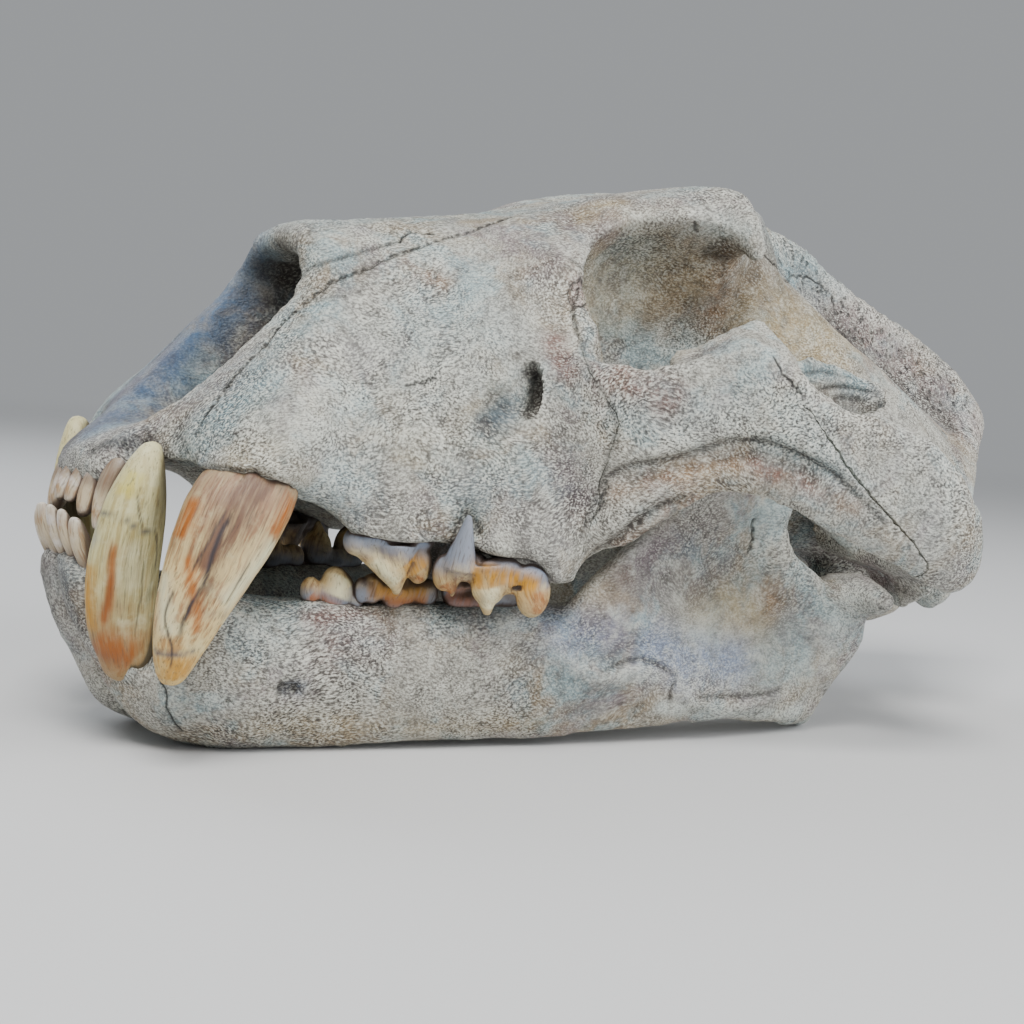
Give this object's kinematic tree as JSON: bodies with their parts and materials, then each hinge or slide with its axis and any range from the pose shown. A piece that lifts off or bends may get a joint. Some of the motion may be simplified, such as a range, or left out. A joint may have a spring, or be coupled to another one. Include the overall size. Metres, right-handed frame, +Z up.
{
  "type": "fossil cave lion skull",
  "caption": "Life-size fossil skull of a large extinct cat with its lower jaw closed, lying on chin and jaw angles as a still museum model.",
  "frame": {"origin": "on the floor, under the middle of the bounding box", "axes": "+X runs from the front teeth back to the neck, +Z is up, and +Y is towards the animal's right side, so its left side faces -Y"},
  "size_m": [0.4304, 0.257, 0.194],
  "materials": {
    "bone": "dry mineralised bone, grey brown, mottled with teal, purple and rust, fine leathery grain, faint sheen",
    "ivory": "old tooth enamel, amber and ivory with dark cracks, semi-gloss"
  },
  "bodies": {
    "root": {"cranium": "bone", "jugal_left": "bone", "jugal_right": "bone", "mandible_left": "bone", "mandible_right": "bone", "upper_canine_left": "ivory", "upper_canine_right": "ivory", "lower_canine_left": "ivory", "lower_canine_right": "ivory"}
  },
  "joints": []
}
